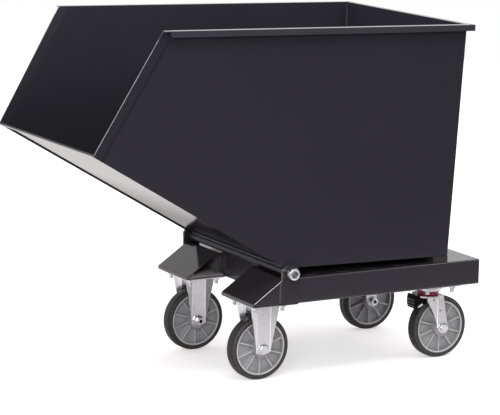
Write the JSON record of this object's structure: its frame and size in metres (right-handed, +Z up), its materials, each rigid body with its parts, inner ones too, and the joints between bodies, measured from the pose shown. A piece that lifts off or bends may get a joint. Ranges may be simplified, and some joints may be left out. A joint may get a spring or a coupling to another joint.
{
  "type": "tipping skip trolley",
  "caption": "Wheeled tipping skip: a tapered sheet-steel hopper with a sloping chute and folded rim, pivoted at the front of a low frame on fixed front and braked swivel rear casters.",
  "frame": {"origin": "on the floor, half-way along the length and the width", "axes": "+X to the rear, away from the tipping lip; +Y to the right of a person pushing from the rear; +Z up"},
  "size_m": [1.1068, 0.588, 0.8839],
  "materials": {
    "anthracite_paint": "smooth semi-gloss powder coat, dark anthracite",
    "zinc_steel": "bright zinc plating with a fine grain",
    "pad_rubber": "matt black rubber",
    "red_plastic": "satin dark red plastic",
    "black_plastic": "matt black moulded plastic",
    "grey_plastic": "satin mid-grey moulded plastic",
    "tyre_rubber": "dark grey solid rubber"
  },
  "bodies": {
    "chassis": {"deck_plate": "anthracite_paint", "left_side_beam": "anthracite_paint", "right_side_beam": "anthracite_paint", "rear_beam": "anthracite_paint", "front_beam": "anthracite_paint", "left_arm_cover": "anthracite_paint", "right_arm_cover": "anthracite_paint", "left_arm_base": "anthracite_paint", "right_arm_base": "anthracite_paint", "left_rear_mount": "anthracite_paint", "right_rear_mount": "anthracite_paint", "left_pivot_ear": "anthracite_paint", "right_pivot_ear": "anthracite_paint", "pivot_sleeves": "zinc_steel", "left_front_fork": "zinc_steel", "right_front_fork": "zinc_steel", "front_axle_bolts": "zinc_steel", "front_axle_nuts": "zinc_steel", "caster_bolts": "zinc_steel", "caster_nuts": "zinc_steel", "left_swivel_plate": "zinc_steel", "right_swivel_plate": "zinc_steel", "king_pins": "zinc_steel", "left_rest_pad": "pad_rubber", "right_rest_pad": "pad_rubber", "dust_rings": "red_plastic"},
    "skip": {"left_skip_side": "anthracite_paint", "right_skip_side": "anthracite_paint", "skip_rear_wall": "anthracite_paint", "skip_floor": "anthracite_paint", "skip_chute": "anthracite_paint", "skip_rim": "anthracite_paint", "pivot_tube": "anthracite_paint", "pivot_bolts": "zinc_steel", "pivot_washers": "zinc_steel"},
    "left_front_wheel": {"left_front_tyre": "tyre_rubber", "left_front_rim": "grey_plastic", "left_front_bearing": "zinc_steel"},
    "left_swivel": {"left_swivel_fork": "zinc_steel", "left_rear_axle_bolt": "zinc_steel", "left_rear_axle_nut": "zinc_steel", "left_pedal_pin": "zinc_steel"},
    "left_rear_wheel": {"left_rear_tyre": "tyre_rubber", "left_rear_rim": "grey_plastic", "left_rear_bearing": "zinc_steel"},
    "left_pedal": {"left_brake_pedal": "black_plastic", "left_brake_shoe": "zinc_steel"},
    "right_front_wheel": {"right_front_tyre": "tyre_rubber", "right_front_rim": "grey_plastic", "right_front_bearing": "zinc_steel"},
    "right_swivel": {"right_swivel_fork": "zinc_steel", "right_rear_axle_bolt": "zinc_steel", "right_rear_axle_nut": "zinc_steel", "right_pedal_pin": "zinc_steel"},
    "right_rear_wheel": {"right_rear_tyre": "tyre_rubber", "right_rear_rim": "grey_plastic", "right_rear_bearing": "zinc_steel"},
    "right_pedal": {"right_brake_pedal": "black_plastic", "right_brake_shoe": "zinc_steel"}
  },
  "joints": [
    {"name": "skip_tip", "type": "hinge", "parent": "chassis", "child": "skip", "pos_m": [-0.01712, 0, 0.279], "axis": [0, -1, 0], "range_deg": [0, 55]},
    {"name": "left_front_wheel_roll", "type": "hinge", "parent": "chassis", "child": "left_front_wheel", "pos_m": [-0.05462, -0.167, 0.08], "axis": [0, 1, 0], "continuous": true},
    {"name": "left_caster_swivel", "type": "hinge", "parent": "chassis", "child": "left_swivel", "pos_m": [0.44338, -0.167, 0.196], "axis": [0, 0, 1], "continuous": true},
    {"name": "left_rear_wheel_roll", "type": "hinge", "parent": "left_swivel", "child": "left_rear_wheel", "pos_m": [0.47338, -0.167, 0.08], "axis": [0, 1, 0], "continuous": true},
    {"name": "left_brake_press", "type": "hinge", "parent": "left_swivel", "child": "left_pedal", "pos_m": [0.42638, -0.167, 0.156], "axis": [0, -1, 0], "range_deg": [0, 12]},
    {"name": "right_front_wheel_roll", "type": "hinge", "parent": "chassis", "child": "right_front_wheel", "pos_m": [-0.05462, 0.167, 0.08], "axis": [0, 1, 0], "continuous": true},
    {"name": "right_caster_swivel", "type": "hinge", "parent": "chassis", "child": "right_swivel", "pos_m": [0.44338, 0.167, 0.196], "axis": [0, 0, 1], "continuous": true},
    {"name": "right_rear_wheel_roll", "type": "hinge", "parent": "right_swivel", "child": "right_rear_wheel", "pos_m": [0.47338, 0.167, 0.08], "axis": [0, 1, 0], "continuous": true},
    {"name": "right_brake_press", "type": "hinge", "parent": "right_swivel", "child": "right_pedal", "pos_m": [0.42638, 0.167, 0.156], "axis": [0, -1, 0], "range_deg": [0, 12]}
  ]
}
